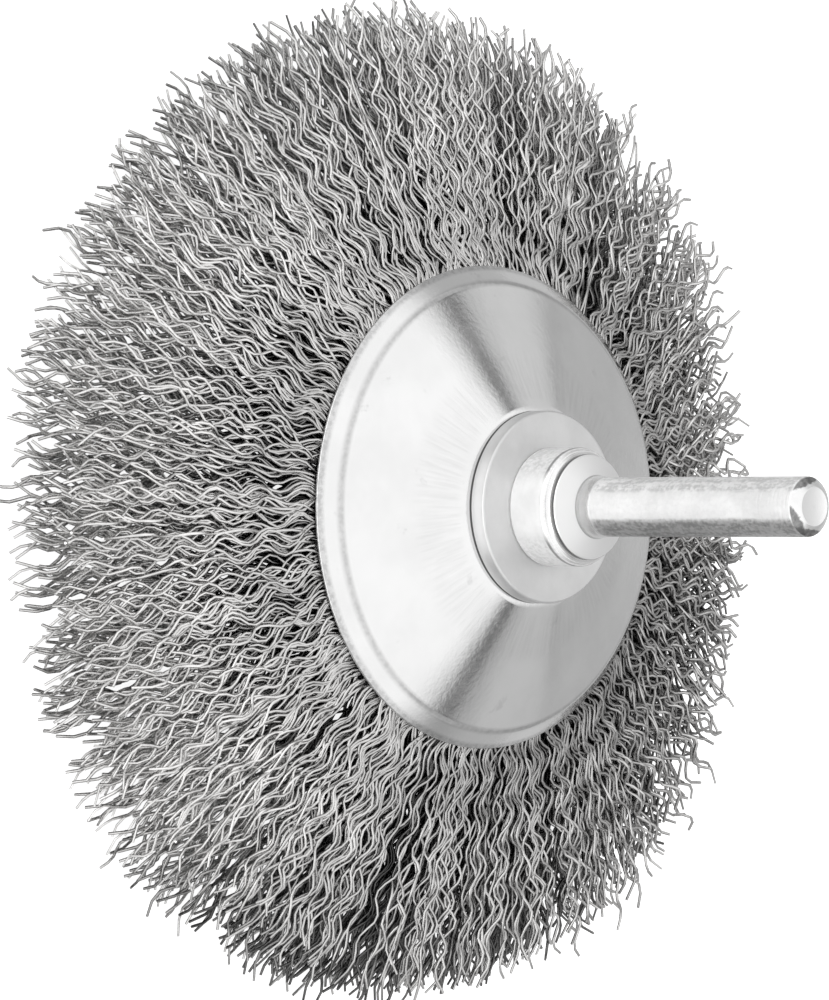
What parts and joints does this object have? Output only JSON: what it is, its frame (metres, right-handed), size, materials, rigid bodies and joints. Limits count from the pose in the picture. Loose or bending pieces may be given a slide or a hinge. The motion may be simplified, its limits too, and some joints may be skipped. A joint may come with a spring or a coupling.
{
  "type": "conical wire brush",
  "caption": "Shank-mounted conical brush: crimped steel wires folded over a ring and clamped under a coned plate, for deburring and cleaning with a drill.",
  "frame": {"origin": "on the brush's axis, at the height of the lowest wire tips, on which it stands", "axes": "+Z along the axis towards the free end of the shank; X and Y across the ring of wire tips"},
  "size_m": [0.1, 0.1, 0.0624],
  "materials": {
    "turned_steel": "zinc plated, satin",
    "zinc_washer": "zinc plated, satin",
    "zinc_plate": "zinc plated, bright",
    "ring_steel": "plain",
    "wire_steel": "drawn wire"
  },
  "bodies": {
    "root": {"mandrel": "turned_steel", "back_washer": "zinc_washer", "cover_plate": "zinc_plate", "retaining_ring": "ring_steel", "inner_disc": "zinc_plate", "wires_01": "wire_steel", "wires_02": "wire_steel", "wires_03": "wire_steel", "wires_04": "wire_steel", "wires_05": "wire_steel", "wires_06": "wire_steel", "wires_07": "wire_steel", "wires_08": "wire_steel", "wires_09": "wire_steel", "wires_10": "wire_steel", "wires_11": "wire_steel", "wires_12": "wire_steel", "wires_13": "wire_steel", "wires_14": "wire_steel", "wires_15": "wire_steel", "wires_16": "wire_steel", "wires_17": "wire_steel", "wires_18": "wire_steel"}
  },
  "joints": []
}
